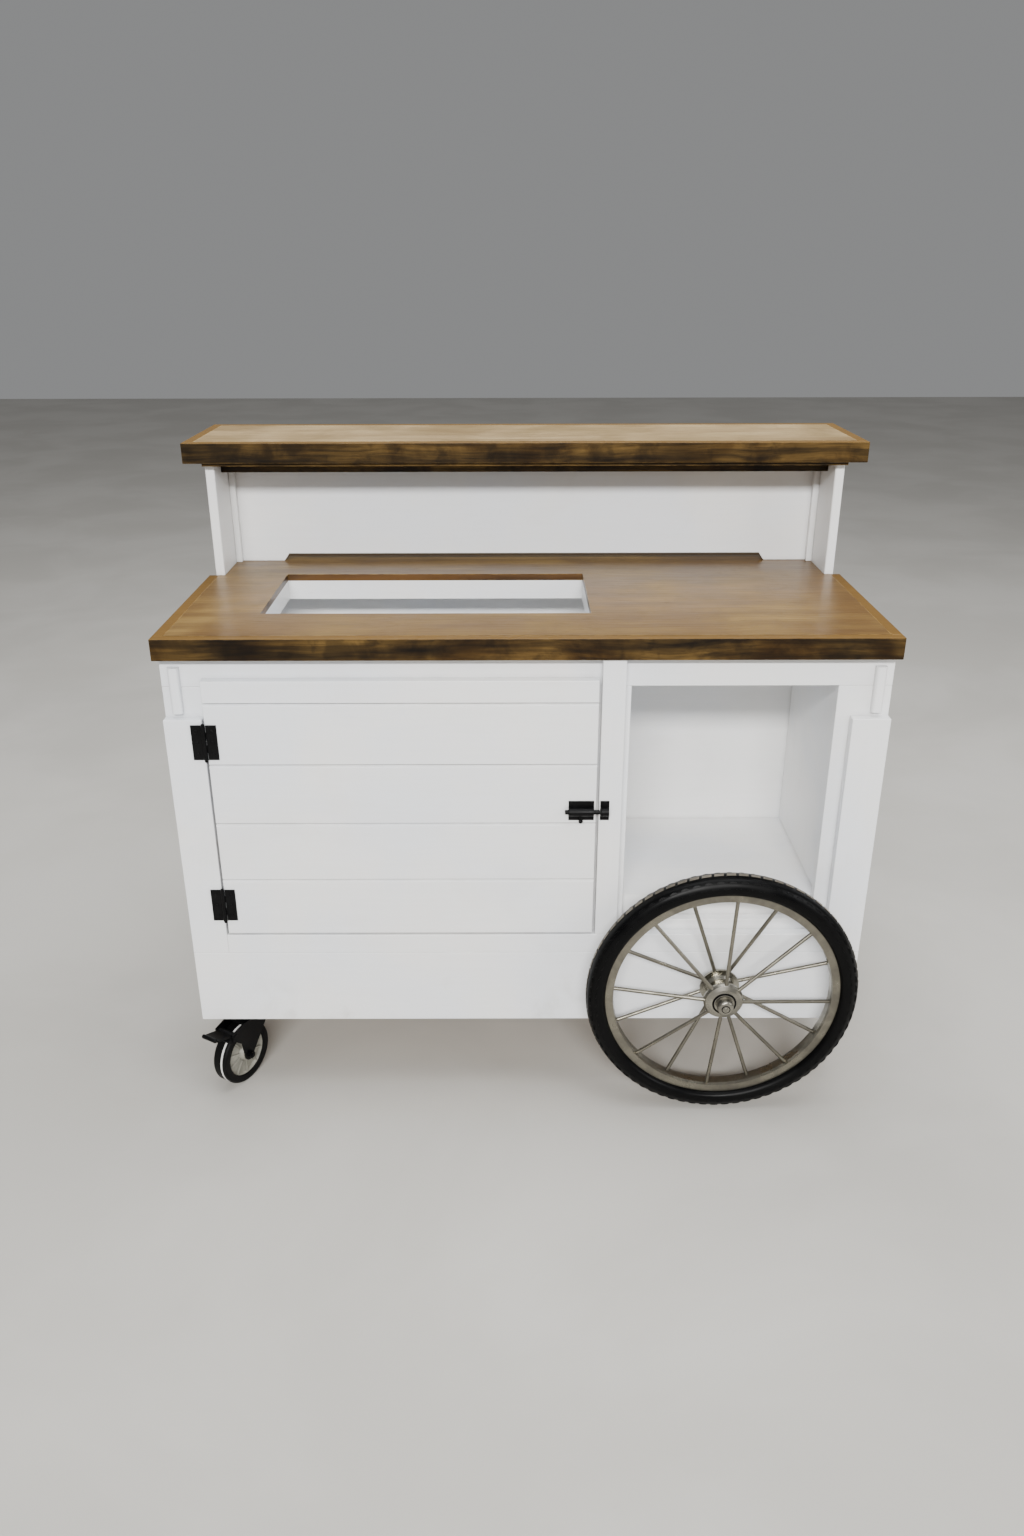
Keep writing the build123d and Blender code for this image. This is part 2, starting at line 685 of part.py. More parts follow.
def make_caster(side):
    """Fork, wheel core, tyre and pedal of one caster. u trails, v is across, both from the swivel."""
    axle_z = caster_wheel_radius
    crown = block(-fork_front, fork_back, -leg_outer, leg_outer, crown_bottom, crown_top)
    crown = crown + rod_z(0, 0, caster_race_radius - 1, crown_bottom, crown_top)
    fork = crown + caster_leg(-leg_outer, -leg_inner) + caster_leg(leg_inner, leg_outer)
    fork = fork - rod_z(0, 0, king_pin_radius + pivot_running_gap, crown_bottom - 1, crown_top + 1)
    fork = fork - rod_y(caster_trail, axle_z, caster_bolt_radius, -leg_outer - 1, leg_outer + 1)
    fork = fork - rod_y(pedal_pivot_u, pivot_z, pedal_pin_radius, -leg_outer - 1, leg_outer + 1)

    bolt_end = leg_outer + caster_nut_height + caster_bolt_end
    hexagon = Plane.XZ * RegularPolygon(caster_hex_radius, 6)
    bolt = rod_y(caster_trail, axle_z, caster_bolt_radius, -leg_outer, bolt_end)
    head = Pos(caster_trail, -leg_outer, axle_z) * extrude(hexagon, caster_hex_height)
    nut = Pos(caster_trail, leg_outer + caster_nut_height, axle_z) * extrude(hexagon, caster_nut_height)
    nut = nut - rod_y(caster_trail, axle_z, caster_bolt_radius, leg_outer, bolt_end)
    pin = rod_y(pedal_pivot_u, pivot_z, pedal_pin_radius, -leg_outer, leg_outer)
    for end in (-1, 1):
        v0, v1 = sorted((end * leg_outer, end * (leg_outer + 2)))
        pin = pin + rod_y(pedal_pivot_u, pivot_z, pedal_pin_radius + 1.5, v0, v1)

    bore = caster_bolt_radius + pivot_running_gap
    hub_end = leg_inner - caster_hub_gap
    rim_end = caster_wheel_half_width - caster_rim_setback
    half_line = [(hub_end, bore), (hub_end, caster_hub_radius), (caster_web_half + 2, caster_web_inner),
                 (caster_web_half, caster_web_outer), (rim_end, caster_rim_inner), (rim_end, caster_core_radius)]
    other_half = [(-v, radius) for v, radius in reversed(half_line)]
    core_line = Polyline(*half_line, *other_half, half_line[0])
    core = Pos(caster_trail, 0, axle_z) * revolve(Plane.YZ * make_face(core_line), Axis.Y)
    tread = rod_y(0, 0, caster_wheel_radius, -caster_wheel_half_width, caster_wheel_half_width)
    tread = fillet(tread.edges().filter_by(GeomType.CIRCLE), 5)
    tread = tread - rod_y(0, 0, caster_core_radius + tyre_seat_gap, -50, 50)
    tyre = Pos(caster_trail, 0, axle_z) * tread

    angle = radians(pedal_lift)
    pedal_end = (pedal_pivot_u + pedal_length * cos(angle), pivot_z + pedal_length * sin(angle))
    plate = Box(pedal_length, 2 * pedal_half_width, pedal_thickness)
    plate = fillet(plate.edges().filter_by(Axis.Z).group_by(Axis.X)[-1], 8)
    middle = ((pedal_pivot_u + pedal_end[0]) / 2, (pivot_z + pedal_end[1]) / 2)
    plate = Pos(middle[0], 0, middle[1]) * Rot(0, -pedal_lift, 0) * plate
    barrel = rod_y(pedal_pivot_u, pivot_z, pedal_barrel_radius, -pedal_half_width, pedal_half_width)
    bar_u, bar_z = brake_bar_place()
    bar = rod_y(bar_u, bar_z, brake_bar_radius, -pedal_half_width, pedal_half_width)
    slope = degrees(atan2(bar_z - pivot_z, bar_u - pedal_pivot_u))
    arm = hypot(bar_z - pivot_z, bar_u - pedal_pivot_u)
    web = Pos((bar_u + pedal_pivot_u) / 2, 0, (bar_z + pivot_z) / 2) * Rot(0, -slope, 0) * Box(
        arm, 2 * pedal_half_width, 2 * brake_bar_radius)
    pedal = plate + barrel + web + bar
    pedal = pedal - rod_y(pedal_pivot_u, pivot_z, pedal_pin_radius + pivot_running_gap, -50, 50)

    heading = 180 - side * caster_heading

    def place(shape):
        return Pos(swivel_x, side * swivel_y, 0) * Rot(0, 0, heading) * shape

    return {
        "fork": [place(shape) for shape in (fork, bolt + head, nut, pin)],
        "wheel_core": [place(core)],
        "wheel_tyre": [place(tyre)],
        "brake_pedal": [place(pedal)],
    }


def brake_bar_place():
    """Where the brake bar is when released: its locked place, turned back about the pedal pin."""
    pivot_u, pivot_rise = pedal_pivot_u - caster_trail, pivot_z - caster_wheel_radius
    locked = caster_wheel_radius + brake_bar_radius + brake_gap
    angle = atan2(pivot_rise, pivot_u) - radians(brake_bar_spread)
    du = locked * cos(angle) - pivot_u
    dz = locked * sin(angle) - pivot_rise
    back = radians(pedal_travel)
    return (pedal_pivot_u + du * cos(back) - dz * sin(back), pivot_z + du * sin(back) + dz * cos(back))


# ---------------------------------------------------------------- hinges and barrel bolt
def hinge_half(side, height):
    """One hinge leaf with its knuckles, side -1 on the corner board and 1 on the door."""
    low = height - hinge_height / 2
    pitch = hinge_height / knuckle_count
    clear = hinge_barrel_radius + hinge_play
    x0, x1 = sorted((hinge_x + side * clear, hinge_x + side * hinge_leaf_width))
    leaf = block(x0, x1, -hinge_face, -trim_y, low, low + hinge_height)
    for i in range(knuckle_count):
        if (i % 2 == 0) != (side < 0):
            continue
        z0, z1 = low + i * pitch + hinge_play / 2, low + (i + 1) * pitch - hinge_play / 2
        tab = sorted((hinge_x, hinge_x + side * (clear + 1)))
        leaf = leaf + rod_z(hinge_x, -hinge_y, hinge_barrel_radius, z0, z1)
        leaf = leaf + block(*tab, -hinge_face, -trim_y, z0, z1)
    leaf = leaf - rod_z(hinge_x, -hinge_y, hinge_pin_radius + pivot_running_gap, low - 1, low + hinge_height + 1)
    places = frame_hinge_screws if side < 0 else door_hinge_screws
    return drill(leaf, screw_holes(places, hinge_face))


def hinge_pin(height):
    low = height - hinge_height / 2
    pin = rod_z(hinge_x, -hinge_y, hinge_pin_radius, low - 1, low + hinge_height + 1)
    for z in (low - 3, low + hinge_height + 1):
        pin = pin + rod_z(hinge_x, -hinge_y, hinge_pin_radius + 1, z, z + 2)
    return pin


def sleeve(x0, x1, bore):
    """A raised half-round sleeve over the rod, on a flat back plate."""
    low, high = bolt_z - bolt_plate_height / 2, bolt_z + bolt_plate_height / 2
    plate = board(x0, x1, -plate_face, -trim_y, low, high, 0.5)
    dome = rod_x(-bolt_y, bolt_z, bolt_sleeve_radius, x0 + 1, x1 - 1)
    foot = block(x0 + 1, x1 - 1, -bolt_y, -plate_face, bolt_z - bolt_sleeve_radius, bolt_z + bolt_sleeve_radius)
    solid = plate + foot + dome
    return solid - rod_x(-bolt_y, bolt_z, bore, x0 - 1, x1 + 1)


def make_bolt_housing():
    solid = sleeve(bolt_plate_left, bolt_plate_right, bolt_rod_radius + bolt_running_gap)
    reach = knob_stem_radius + knob_play
    slot = block(knob_x - reach, knob_x + bolt_travel + reach, -bolt_y - reach, -bolt_y + reach,
                 bolt_z - 2 * bolt_sleeve_radius, bolt_z)
    return drill(solid - slot, screw_holes(housing_screws, plate_face))


def make_keeper():
    solid = sleeve(keeper_left, keeper_left + keeper_width, bolt_rod_radius + knob_play)
    return drill(solid, screw_holes(keeper_screws, plate_face))


def make_bolt_rod():
    """The sliding rod with its knob, drawn back just clear of the keeper."""
    rod = rod_x(-bolt_y, bolt_z, bolt_rod_radius, bolt_tip - bolt_rod_length, bolt_tip)
    rod = chamfer(rod.edges().filter_by(GeomType.CIRCLE), 0.8)
    stem = rod_z(knob_x, -bolt_y, knob_stem_radius, bolt_z - knob_reach, bolt_z)
    return rod + stem + Pos(knob_x, -bolt_y, bolt_z - knob_reach) * Sphere(knob_radius)


def make_door():
    """Shiplap planks and the battens behind them."""
    boards = planks(door_left, door_right, trim_y, trim_y - door_back, door_bottom, door_top, -1)
    holes = screw_holes(door_hinge_screws, hinge_face) + screw_holes(housing_screws, plate_face)
    boards = [drill(piece, holes) for piece in boards]
    front, back = -door_back, batten_thickness - door_back
    low, high = cabinet_floor_top + batten_inset, opening_top - batten_inset
    left, right = door_opening_left + batten_inset, door_opening_right - batten_inset
    middle = (low + high) / 2
    battens = [
        board(left, left + batten_width, front, back, low, high),
        board(right - batten_width, right, front, back, low, high),
        board(left + batten_width, right - batten_width, front, back, middle - batten_width / 2,
              middle + batten_width / 2),
    ]
    return boards, battens


# ---------------------------------------------------------------- every node
def make_nodes():
    nodes = {}
    for side, name in ((-1, "left_side_panel"), (1, "right_side_panel")):
        x0, x1 = sorted((side * inner_x, side * half_width))
        nodes[name] = [board(x0, x1, -inner_y, inner_y, deck_top, frame_top)]
    back = board(-half_width, half_width, inner_y, frame_y, deck_top, frame_top)
    nodes["back_panel"] = [back - axle_hole(inner_y - 1, frame_y + 1)]
    nodes["bottom_deck"] = [make_deck()]
    nodes["cabinet_floor"] = [block(-inner_x, inner_x, -inner_y, inner_y,
                                    cabinet_floor_top - panel_thickness, cabinet_floor_top)]
    nodes["divider_panel"] = [block(divider_left, bay_wall_left, -inner_y, inner_y, cabinet_floor_top, frame_top)]
    nodes["corner_posts"] = [
        block(*sorted((sx * inner_x, sx * (inner_x - post_size))),
              *sorted((sy * inner_y, sy * (inner_y - post_size))), cabinet_floor_top, frame_top)
        for sx in (-1, 1) for sy in (-1, 1)]
    nodes["face_frame"] = make_face_frame()
    nodes["corner_boards"] = make_corner_boards()
    stile = board(stile_left, stile_right, -trim_y, -frame_y, lower_rail_top, counter_underside)
    nodes["centre_stile_trim"] = [drill(stile, screw_holes(keeper_screws, plate_face))]
    nodes["base_boards"] = make_base_boards()
    rail = board(-corner_board_inner_x, corner_board_inner_x, -trim_y, -frame_y, base_board_top, lower_rail_top)
    nodes["lower_rail_trim"] = [rail - axle_hole(-trim_y - 1, -frame_y + 1)]
    nodes["corner_blocks"] = make_corner_blocks()
    nodes["bay_floor"] = make_bay_floor()
    nodes["bay_back_wall"] = [block(bay_wall_left, bay_wall_right, bay_back, bay_back + lining_thickness,
                                    cabinet_floor_top, frame_top)]
    nodes["bay_side_wall"] = [block(bay_wall_right, bay_wall_right + lining_thickness, -inner_y,
                                    bay_back + lining_thickness, cabinet_floor_top, frame_top)]
    sub_top = block(-half_width, half_width, -frame_y, frame_y, frame_top, counter_underside)
    nodes["sub_top"] = [sub_top - cutout(frame_top - 1, counter_underside + 1)]
    nodes["counter_underlay"] = [make_counter_layer(counter_underside, counter_board_bottom)]
    nodes["countertop"] = [make_counter_layer(counter_board_bottom, counter_height)]
    nodes["counter_nosings"] = make_counter_nosings()
    cladding = planks(-corner_board_inner_x, corner_board_inner_x, trim_y, trim_thickness, base_board_top,
                      counter_underside, 1)
    nodes["back_cladding"] = [piece - axle_hole(frame_y - 1, trim_y + 1) for piece in cladding]
    nodes["riser_side_panels"], nodes["riser_corner_cleats"] = make_riser_pairs()
    nodes["riser_back_panel"] = [make_riser_back()]
    cleat_y = riser_front + shelf_cleat_setback
    nodes["shelf_cleat"] = [board(-riser_inner_x, riser_inner_x, cleat_y, cleat_y + shelf_cleat_thickness,
                                  subboard_bottom - shelf_cleat_height, subboard_bottom)]
    nodes["shelf_subboard"] = [block(-riser_outer_x, riser_outer_x, shelf_front + shelf_subboard_setback,
                                     shelf_back - shelf_subboard_setback, subboard_bottom, shelf_underside)]
    nodes["shelf_board"] = [block(nosing_thickness - shelf_x, shelf_x - nosing_thickness,
                                  shelf_front + nosing_thickness, shelf_back - nosing_thickness,
                                  shelf_underside, shelf_height)]
    nodes["shelf_nosings"] = make_shelf_nosings()

    nodes["axle"] = [make_axle()]
    nodes["axle_fittings"] = make_axle_fittings()
    nodes["axle_blocks"] = make_axle_blocks()
    for side, name in ((-1, "front_wheel"), (1, "back_wheel")):
        for part, shapes in make_wheel(side).items():
            nodes[name + "_" + part] = shapes

    nodes["caster_plates"] = caster_plates()
    nodes["caster_screws"] = caster_screws()
    for side, name in ((-1, "front_caster"), (1, "back_caster")):
        for part, shapes in make_caster(side).items():
            nodes[name + "_" + part] = shapes

    nodes["hinge_frame_halves"] = [shape for z in hinge_heights for shape in (hinge_half(-1, z), hinge_pin(z))]
    nodes["hinge_door_halves"] = [hinge_half(1, z) for z in hinge_heights]
    nodes["frame_screws"] = ([screw(x, z, hinge_face) for x, z in frame_hinge_screws]
                             + [screw(x, z, plate_face) for x, z in keeper_screws])
    nodes["door_screws"] = ([screw(x, z, hinge_face) for x, z in door_hinge_screws]
                            + [screw(x, z, plate_face) for x, z in housing_screws])
    nodes["door_boards"], nodes["door_battens"] = make_door()
    nodes["bolt_housing"] = [make_bolt_housing()]
    nodes["bolt_keeper"] = [make_keeper()]
    nodes["bolt_rod"] = [make_bolt_rod()]
    return nodes


os.makedirs("parts", exist_ok=True)
for node, shapes in make_nodes().items():
    solids = [solid for shape in shapes for solid in shape.solids()]
    export_step(solids[0] if len(solids) == 1 else Compound(children=solids), f"parts/{node}.step")
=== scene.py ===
from math import cos, pi, radians, sin

import bmesh
import bpy
from mathutils import Matrix, Vector


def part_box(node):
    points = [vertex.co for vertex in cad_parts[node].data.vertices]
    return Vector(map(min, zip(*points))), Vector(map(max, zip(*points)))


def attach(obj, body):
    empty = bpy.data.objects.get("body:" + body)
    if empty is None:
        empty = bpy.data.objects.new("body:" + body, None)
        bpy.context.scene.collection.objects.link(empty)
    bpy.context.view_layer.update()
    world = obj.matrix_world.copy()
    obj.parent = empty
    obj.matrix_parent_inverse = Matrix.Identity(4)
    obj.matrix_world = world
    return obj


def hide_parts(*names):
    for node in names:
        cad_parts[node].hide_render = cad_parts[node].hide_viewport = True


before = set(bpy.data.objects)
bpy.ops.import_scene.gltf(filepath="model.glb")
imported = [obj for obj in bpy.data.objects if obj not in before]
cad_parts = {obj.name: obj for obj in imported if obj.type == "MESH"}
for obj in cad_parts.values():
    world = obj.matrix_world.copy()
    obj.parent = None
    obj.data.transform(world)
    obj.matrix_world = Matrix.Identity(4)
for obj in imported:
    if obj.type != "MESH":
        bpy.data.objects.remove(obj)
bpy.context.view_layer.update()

AXIS_X, AXIS_Y, AXIS_Z = Vector((1, 0, 0)), Vector((0, 1, 0)), Vector((0, 0, 1))


# ---------------------------------------------------------------- shader helpers
def add(tree, kind, feeds=(), values=(), **settings):
    """A shader node with its settings, its plain values and the sockets that feed it."""
    node = tree.nodes.new("ShaderNode" + kind)
    for name, value in settings.items():
        setattr(node, name, value)
    for name, value in dict(values).items():
        node.inputs[name].default_value = value
    for name, socket in dict(feeds).items():
        tree.links.new(socket, node.inputs[name])
    return node


def mix(tree, factor, a, b, blend="MIX"):
    """Two colours mixed. Each of the three is a socket or a plain value."""
    node = add(tree, "Mix", data_type="RGBA", blend_type=blend, clamp_factor=True)
    for index, item in ((0, factor), (6, a), (7, b)):
        if isinstance(item, bpy.types.NodeSocket):
            tree.links.new(item, node.inputs[index])
        else:
            node.inputs[index].default_value = (*item, 1) if isinstance(item, tuple) else item
    return node.outputs[2]


def maths(tree, operation, a, b=0.0, c=0.0):
    """A Math node's value. Each of the three is a socket or a plain value."""
    node = add(tree, "Math", operation=operation)
    for index, item in enumerate((a, b, c)):
        if isinstance(item, bpy.types.NodeSocket):
            tree.links.new(item, node.inputs[index])
        else:
            node.inputs[index].default_value = item
    return node.outputs[0]


def new_group(name, inputs, outputs):
    """An empty node group. inputs are (name, type, default) and outputs are names of values."""
    tree = bpy.data.node_groups.new(name, "ShaderNodeTree")
    for title, kind, default in inputs:
        socket = tree.interface.new_socket(title, in_out="INPUT", socket_type="NodeSocket" + kind)
        if default is not None:
            socket.default_value = default
    for title in outputs:
        tree.interface.new_socket(title, in_out="OUTPUT", socket_type="NodeSocketFloat")
    start = tree.nodes.new("NodeGroupInput")
    end = tree.nodes.new("NodeGroupOutput")
    return tree, start.outputs, end.inputs


def place_group(tree, group, feeds=(), values=()):
    """A node group placed in a tree, with the sockets that feed it. Returns its outputs."""
    node = tree.nodes.new("ShaderNodeGroup")
    node.node_tree = group
    for name, value in dict(values).items():
        node.inputs[name].default_value = value
    for name, socket in dict(feeds).items():
        tree.links.new(socket, node.inputs[name])
    return node.outputs


# ---------------------------------------------------------------- shared effects
def make_grain_group():
    """Timber grain that runs along X: broad figure, fine streaks and short pores."""
    tree, given, result = new_group(
        "timber grain",
        [("Vector", "Vector", None), ("Size", "Float", 1.0), ("Wander", "Float", 1.0)],
        ["Figure", "Streaks", "Pores"])
    sized = add(tree, "VectorMath", {0: given["Vector"], "Scale": given["Size"]}, operation="SCALE")
    bend = add(tree, "TexNoise", {"Vector": sized.outputs[0]}, {"Scale": 3.0, "Detail": 2.0})
    shift = maths(tree, "MULTIPLY", maths(tree, "SUBTRACT", bend.outputs["Fac"], 0.5), given["Wander"])
    split = add(tree, "SeparateXYZ", {0: sized.outputs[0]})
    across = maths(tree, "MULTIPLY_ADD", shift, 0.06, split.outputs[1])
    height = maths(tree, "MULTIPLY_ADD", shift, 0.04, split.outputs[2])
    for title, stretch, scale, detail, contrast in (
            ("Figure", 0.10, 26.0, 5.0, (0.36, 0.64)),
            ("Streaks", 0.035, 130.0, 7.0, (0.38, 0.66)),
            ("Pores", 0.02, 700.0, 3.0, (0.55, 0.75))):
        along = maths(tree, "MULTIPLY", split.outputs[0], stretch)
        where = add(tree, "CombineXYZ", {0: along, 1: across, 2: height})
        noise = add(tree, "TexNoise", {"Vector": where.outputs[0]}, {"Scale": scale, "Detail": detail})
        spread = add(tree, "MapRange", {"Value": noise.outputs["Fac"]},
                     {"From Min": contrast[0], "From Max": contrast[1]})
        tree.links.new(spread.outputs[0], result[title])
    return tree


def make_blotch_group():
    """Soft uneven patches and fine specks."""
    tree, given, result = new_group(
        "blotches", [("Vector", "Vector", None), ("Size", "Float", 4.0), ("Low", "Float", 0.35),
                     ("High", "Float", 0.65)], ["Patches", "Specks"])
    patches = add(tree, "TexNoise", {"Vector": given["Vector"], "Scale": given["Size"]},
                  {"Detail": 5.0, "Roughness": 0.55, "Distortion": 0.4})
    spread = add(tree, "MapRange", {"Value": patches.outputs["Fac"], "From Min": given["Low"],
                                    "From Max": given["High"]}, interpolation_type="SMOOTHSTEP")
    tree.links.new(spread.outputs[0], result["Patches"])
    fine = maths(tree, "MULTIPLY", given["Size"], 45.0)
    specks = add(tree, "TexNoise", {"Vector": given["Vector"], "Scale": fine}, {"Detail": 2.0})
    sharp = add(tree, "MapRange", {"Value": specks.outputs["Fac"]},
                {"From Min": 0.62, "From Max": 0.74})
    tree.links.new(sharp.outputs[0], result["Specks"])
    return tree


def make_crevice_group():
    """Where dust and shade gather: near inside corners and in grooves."""
    tree, given, result = new_group(
        "crevices", [("Vector", "Vector", None), ("Reach", "Float", 0.02)], ["Mask"])
    shelter = add(tree, "AmbientOcclusion", {"Distance": given["Reach"]}, samples=6)
    deep = add(tree, "MapRange", {"Value": shelter.outputs["AO"]},
               {"From Min": 0.95, "From Max": 0.35, "To Min": 0.0, "To Max": 1.0})
    uneven = add(tree, "TexNoise", {"Vector": given["Vector"]}, {"Scale": 30.0, "Detail": 4.0})
    patchy = add(tree, "MapRange", {"Value": uneven.outputs["Fac"]},
                 {"From Min": 0.3, "From Max": 0.6, "To Min": 0.45, "To Max": 1.0})
    tree.links.new(maths(tree, "MULTIPLY", deep.outputs[0], patchy.outputs[0]), result["Mask"])
    return tree


def make_wear_group():
    """Rubbed outside edges, broken up by noise."""
    tree, given, result = new_group(
        "rubbed edges",
        [("Vector", "Vector", None), ("Reach", "Float", 0.002), ("Amount", "Float", 1.0)], ["Mask"])
    rounded = add(tree, "Bevel", {"Radius": given["Reach"]}, samples=4)
    surface = add(tree, "NewGeometry")
    turned = add(tree, "VectorMath", {0: rounded.outputs[0], 1: surface.outputs["Normal"]},
                 operation="DOT_PRODUCT")
    edge = add(tree, "MapRange", {"Value": turned.outputs["Value"]},
               {"From Min": 0.995, "From Max": 0.80})
    broken = add(tree, "TexNoise", {"Vector": given["Vector"]}, {"Scale": 55.0, "Detail": 6.0})
    patchy = add(tree, "MapRange", {"Value": broken.outputs["Fac"]},
                 {"From Min": 0.42, "From Max": 0.60})
    both = maths(tree, "MULTIPLY", edge.outputs[0], patchy.outputs[0])
    tree.links.new(maths(tree, "MULTIPLY", both, given["Amount"]), result["Mask"])
    return tree


grain_group = make_grain_group()
blotch_group = make_blotch_group()
crevice_group = make_crevice_group()
wear_group = make_wear_group()


def new_material(name, **values):
    """A material with its Principled shader, its node tree and Object coordinates."""
    material = bpy.data.materials.new(name)
    material.use_nodes = True
    tree = material.node_tree
    shader = tree.nodes["Principled BSDF"]
    for title, value in values.items():
        shader.inputs[title.replace("_", " ")].default_value = value
    where = add(tree, "TexCoord").outputs["Object"]
    return material, tree, shader, where


def set_bump(tree, shader, *layers):
    """Bump layers, each (height socket, strength, distance in metres)."""
    normal = None
    for height, strength, distance in layers:
        bump = add(tree, "Bump", {"Height": height}, {"Strength": strength, "Distance": distance})
        if normal:
            tree.links.new(normal, bump.inputs["Normal"])
        normal = bump.outputs[0]
    tree.links.new(normal, shader.inputs["Normal"])


def turn_grain(tree, where, direction):
    """Coordinates turned so that the grain runs along the given axis, X or Z."""
    angles = {"X": (0, 0, 0), "Z": (0, pi / 2, 0)}[direction]
    return add(tree, "Mapping", {"Vector": where}, {"Rotation": angles}).outputs[0]


# ---------------------------------------------------------------- finishes
SCUFF_TOP, SCUFF_FULL = 0.26, 0.15  # metres above the floor where scuffs begin and are strongest


def paint_finish(name, direction):
    """Satin white paint over timber: faint grain, stipple, painted shade and dust in corners and grooves,
    scuffed low down.
    """
    material, tree, shader, where = new_material(name, Specular_IOR_Level=0.45)
    turned = turn_grain(tree, where, direction)
    grain = place_group(tree, grain_group, {"Vector": turned}, {"Size": 1.0})
    patches = place_group(tree, blotch_group, {"Vector": where}, {"Size": 3.2})
    smears = place_group(tree, blotch_group, {"Vector": where},
                         {"Size": 9.0, "Low": 0.52, "High": 0.72})
    crevice = place_group(tree, crevice_group, {"Vector": where}, {"Reach": 0.009})
    wear = place_group(tree, wear_group, {"Vector": where}, {"Reach": 0.0022, "Amount": 0.30})
    warm, cold = (0.86, 0.855, 0.845), (0.81, 0.83, 0.865)
    colour = mix(tree, patches["Patches"], warm, cold)
    colour = mix(tree, maths(tree, "MULTIPLY", grain["Streaks"], 0.10), colour, (0.72, 0.72, 0.71))
    colour = mix(tree, maths(tree, "MULTIPLY", smears["Patches"], 0.12), colour, (0.66, 0.65, 0.62))
    # painted shade and dust: darker grey in corners and in the grooves between the boards
    colour = mix(tree, maths(tree, "MULTIPLY", crevice["Mask"], 0.34), colour, (0.30, 0.295, 0.29))
    colour = mix(tree, wear["Mask"], colour, (0.62, 0.56, 0.47))
    level = add(tree, "SeparateXYZ", {0: where}).outputs[2]
    low = add(tree, "MapRange", {"Value": level},
              {"From Min": SCUFF_TOP, "From Max": SCUFF_FULL}).outputs[0]
    scuffs = maths(tree, "MULTIPLY", low, maths(tree, "MULTIPLY", smears["Patches"], 0.35))
    colour = mix(tree, scuffs, colour, (0.42, 0.40, 0.37))
    tree.links.new(colour, shader.inputs["Base Color"])
    rough = maths(tree, "MULTIPLY_ADD", patches["Patches"], 0.10, 0.36)
    rough = maths(tree, "MULTIPLY_ADD", crevice["Mask"], 0.25, rough)
    tree.links.new(rough, shader.inputs["Roughness"])
    stipple = add(tree, "TexNoise", {"Vector": where}, {"Scale": 420.0, "Detail": 2.0}).outputs["Fac"]
    set_bump(tree, shader, (grain["Streaks"], 0.10, 0.0006), (stipple, 0.10, 0.0004))
    return material


CUT_EDGE_LIGHT, CUT_EDGE_DARK = (0.11, 0.052, 0.015), (0.008, 0.004, 0.002)


def stain_finish(name, dark, middle, light, streaks, gloss, patch_size=5.0, lit_top=None,
                 sheen=0.3):
    """Stained timber under a satin varnish. The grain runs along the cart.
    Faces that look up take the colour lit_top, a painted highlight from the light above, and a board without
    one is dark on its cut edges."""
    material, tree, shader, where = new_material(name, Coat_Weight=0.10, Coat_Roughness=0.25,
                                                Specular_IOR_Level=sheen)
    grain = place_group(tree, grain_group, {"Vector": where}, {"Size": 1.0, "Wander": 1.0})
    patches = place_group(tree, blotch_group, {"Vector": where}, {"Size": patch_size})
    deep = place_group(tree, blotch_group, {"Vector": where},
                       {"Size": patch_size * 2.6, "Low": 0.50, "High": 0.66})
    wear = place_group(tree, wear_group, {"Vector": where}, {"Reach": 0.003, "Amount": 0.75})
    colour = mix(tree, patches["Patches"], middle, light)
    # lighter patches, part faded varnish and part painted sheen
    faded_and_sheen = place_group(tree, blotch_group, {"Vector": where}, {"Size": 1.9, "Low": 0.45, "High": 0.62})
    colour = mix(tree, maths(tree, "MULTIPLY", faded_and_sheen["Patches"], 0.35), colour, light)
    colour = mix(tree, maths(tree, "MULTIPLY", grain["Figure"], streaks), colour, dark)
    colour = mix(tree, maths(tree, "MULTIPLY", grain["Streaks"], streaks * 0.7), colour, dark)
    colour = mix(tree, maths(tree, "MULTIPLY", deep["Patches"], streaks * 0.5), colour, dark)
    colour = mix(tree, maths(tree, "MULTIPLY", grain["Pores"], 0.45), colour,
                 tuple(0.4 * channel for channel in dark))
    facing = add(tree, "SeparateXYZ", {0: add(tree, "NewGeometry").outputs["True Normal"]}).outputs[2]
    upward = add(tree, "MapRange", {"Value": facing},
                 {"From Min": 0.45, "From Max": 0.75}).outputs[0]
    # painted light: faces that look up are mixed towards the lighter colour lit_top
    if lit_top:
        colour = mix(tree, maths(tree, "MULTIPLY", upward, 0.85), colour, lit_top)
    else:
        streaky = mix(tree, grain["Figure"], CUT_EDGE_LIGHT, CUT_EDGE_DARK)
        colour = mix(tree, maths(tree, "SUBTRACT", 1.0, upward), colour, streaky)
    colour = mix(tree, wear["Mask"], colour, tuple(min(1.0, 1.5 * channel) for channel in light))
    tree.links.new(colour, shader.inputs["Base Color"])
    rough = maths(tree, "MULTIPLY_ADD", patches["Patches"], 0.10, gloss)
    rough = maths(tree, "MULTIPLY_ADD", grain["Pores"], 0.15, rough)
    tree.links.new(rough, shader.inputs["Roughness"])
    set_bump(tree, shader, (grain["Streaks"], 0.18, 0.0006), (grain["Pores"], 0.12, -0.0004))
    return material


